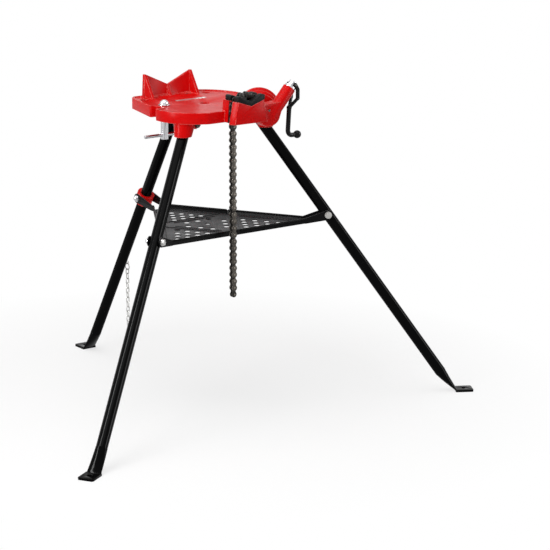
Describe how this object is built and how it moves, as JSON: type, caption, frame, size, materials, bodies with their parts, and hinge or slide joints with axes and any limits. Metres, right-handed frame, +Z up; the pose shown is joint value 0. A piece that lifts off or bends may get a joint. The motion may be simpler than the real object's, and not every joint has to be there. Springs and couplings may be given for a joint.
{
  "type": "pipe_vise_stand",
  "caption": "Tripod pipe vise stand with a red cast platform, chain vise, bender shoe, vee pipe rest, ceiling brace screw and a tray that folds with the legs.",
  "frame": {"origin": "Middle of the footprint's bounding box, on the floor.", "axes": "+X runs from the left leg to the right leg, -Y is the front with the vise, +Z is up."},
  "size_m": [1.145, 0.9368, 0.7919],
  "materials": {
    "painted": "gloss red enamel on cast iron",
    "leg_paint": "gloss black enamel on steel tube",
    "tray_paint": "dark satin enamel on sheet steel",
    "jaw_steel": "black oxide",
    "chain_steel": "oiled chain steel",
    "bright_steel": "bright plated",
    "black_steel": "gloss black",
    "zinc": "zinc plated"
  },
  "bodies": {
    "head": {"base_casting": "painted", "front_jaw": "jaw_steel", "rear_jaw": "jaw_steel", "chain_outer_links": "chain_steel", "chain_inner_links": "chain_steel", "chain_guide_pin": "black_steel", "chain_guide_roller": "chain_steel", "tube_bush": "bright_steel", "leg_pivot_bolts": "black_steel", "leg_pivot_nuts": "black_steel"},
    "front_left_leg_body": {"front_left_leg": "leg_paint", "left_tray_pin": "black_steel"},
    "front_right_leg_body": {"front_right_leg": "leg_paint", "right_tray_pin": "black_steel"},
    "rear_leg_body": {"rear_leg": "leg_paint", "rear_tray_pin": "black_steel", "rear_leg_collar": "painted", "transport_eye": "zinc"},
    "tray_centre_body": {"tray_centre_panel": "tray_paint", "tray_hinge_pins": "black_steel"},
    "tray_left_leaf_body": {"tray_left_leaf": "tray_paint", "left_tray_bolt": "black_steel", "left_cap_nut": "bright_steel"},
    "tray_right_leaf_body": {"tray_right_leaf": "tray_paint", "right_tray_bolt": "black_steel", "right_cap_nut": "bright_steel"},
    "tray_rear_leaf_body": {"tray_rear_leaf": "tray_paint", "rear_tray_bolt": "bright_steel", "rear_cap_nut": "bright_steel"},
    "brace_cap_body": {"brace_cap": "bright_steel"},
    "brace_screw_body": {"brace_screw": "bright_steel", "brace_handle_bar": "bright_steel"},
    "vise_screw_body": {"vise_screw": "bright_steel", "crank_pin": "black_steel"},
    "draw_nut_body": {"draw_nut": "chain_steel"},
    "crank_body": {"crank_arm": "black_steel", "crank_ball": "black_steel"},
    "chain_upper_tail": {"chain_upper_tail_inner_links": "chain_steel", "chain_upper_tail_outer_links": "chain_steel"},
    "chain_middle_tail": {"chain_middle_tail_inner_links": "chain_steel", "chain_middle_tail_outer_links": "chain_steel"},
    "chain_lower_tail": {"chain_lower_tail_inner_links": "chain_steel", "chain_lower_tail_outer_links": "chain_steel"},
    "transport_chain_body": {"transport_ring": "zinc", "transport_chain_links": "zinc"}
  },
  "joints": [
    {"name": "front_left_leg_fold", "type": "hinge", "parent": "head", "child": "front_left_leg_body", "pos_m": [-0.10081, -0.18047, 0.7], "axis": [0.5075, -0.8616, 0], "range_deg": [0, 26]},
    {"name": "front_right_leg_fold", "type": "hinge", "parent": "head", "child": "front_right_leg_body", "pos_m": [0.10081, -0.18047, 0.7], "axis": [0.5075, 0.8616, 0], "range_deg": [0, 26]},
    {"name": "rear_leg_fold", "type": "hinge", "parent": "head", "child": "rear_leg_body", "pos_m": [0, 0.00591, 0.7], "axis": [-1, 0, 0], "range_deg": [0, 25]},
    {"name": "tray_lift", "type": "slide", "parent": "head", "child": "tray_centre_body", "axis": [0, 0, 1], "range_m": [0, 0.15]},
    {"name": "tray_left_leaf_tilt", "type": "hinge", "parent": "tray_centre_body", "child": "tray_left_leaf_body", "pos_m": [-0.05557, -0.15383, 0.4314], "axis": [0.5075, -0.8616, 0], "range_deg": [0, 68]},
    {"name": "tray_right_leaf_tilt", "type": "hinge", "parent": "tray_centre_body", "child": "tray_right_leaf_body", "pos_m": [0.05557, -0.15383, 0.4314], "axis": [0.5075, 0.8616, 0], "range_deg": [0, 68]},
    {"name": "tray_rear_leaf_tilt", "type": "hinge", "parent": "tray_centre_body", "child": "tray_rear_leaf_body", "pos_m": [0, -0.05659, 0.4314], "axis": [-1, 0, 0], "range_deg": [0, 69]},
    {"name": "brace_lift", "type": "slide", "parent": "head", "child": "brace_cap_body", "axis": [0, 0, 1], "range_m": [0, 0.035]},
    {"name": "brace_turn", "type": "hinge", "parent": "brace_cap_body", "child": "brace_screw_body", "pos_m": [-0.0965, -0.08259, 0.7], "axis": [0, 0, 1], "range_deg": [0, 3150]},
    {"name": "vise_screw_turn", "type": "hinge", "parent": "head", "child": "vise_screw_body", "pos_m": [0.1283, -0.27189, 0.772], "axis": [-0.6691, 0, -0.7431], "range_deg": [0, 145]},
    {"name": "draw_nut_slide", "type": "slide", "parent": "head", "child": "draw_nut_body", "axis": [0.6691, 0, 0.7431], "range_m": [0, 0.00161]},
    {"name": "crank_fold", "type": "hinge", "parent": "vise_screw_body", "child": "crank_body", "pos_m": [0.13666, -0.27189, 0.78129], "axis": [0, -1, 0], "range_deg": [0, 90]},
    {"name": "chain_tail_swing_upper", "type": "hinge", "parent": "head", "child": "chain_upper_tail", "pos_m": [-0.0345, -0.27189, 0.698], "axis": [0, -1, 0], "range_deg": [-15, 15]},
    {"name": "chain_tail_swing_middle", "type": "hinge", "parent": "chain_upper_tail", "child": "chain_middle_tail", "pos_m": [-0.0345, -0.27189, 0.55445], "axis": [0, -1, 0], "range_deg": [-15, 15]},
    {"name": "chain_tail_swing_lower", "type": "hinge", "parent": "chain_middle_tail", "child": "chain_lower_tail", "pos_m": [-0.0345, -0.27189, 0.42685], "axis": [0, -1, 0], "range_deg": [-15, 15]},
    {"name": "transport_chain_swing", "type": "hinge", "parent": "rear_leg_body", "child": "transport_chain_body", "pos_m": [0.01995, 0.26649, 0.2582], "axis": [1, 0, 0], "range_deg": [-20, 20]}
  ],
  "couplings": [
    {"joint": "front_right_leg_fold", "follows": "front_left_leg_fold", "ratio": 1},
    {"joint": "rear_leg_fold", "follows": "front_left_leg_fold", "ratio": 0.96154},
    {"joint": "tray_lift", "follows": "front_left_leg_fold", "m_per_rad": 0.33055},
    {"joint": "tray_left_leaf_tilt", "follows": "front_left_leg_fold", "ratio": 2.6154},
    {"joint": "tray_right_leaf_tilt", "follows": "front_left_leg_fold", "ratio": 2.6154},
    {"joint": "tray_rear_leaf_tilt", "follows": "front_left_leg_fold", "ratio": 2.6538},
    {"joint": "brace_lift", "follows": "brace_turn", "m_per_rad": 0.00063662},
    {"joint": "draw_nut_slide", "follows": "vise_screw_turn", "m_per_rad": 0.00063662}
  ]
}
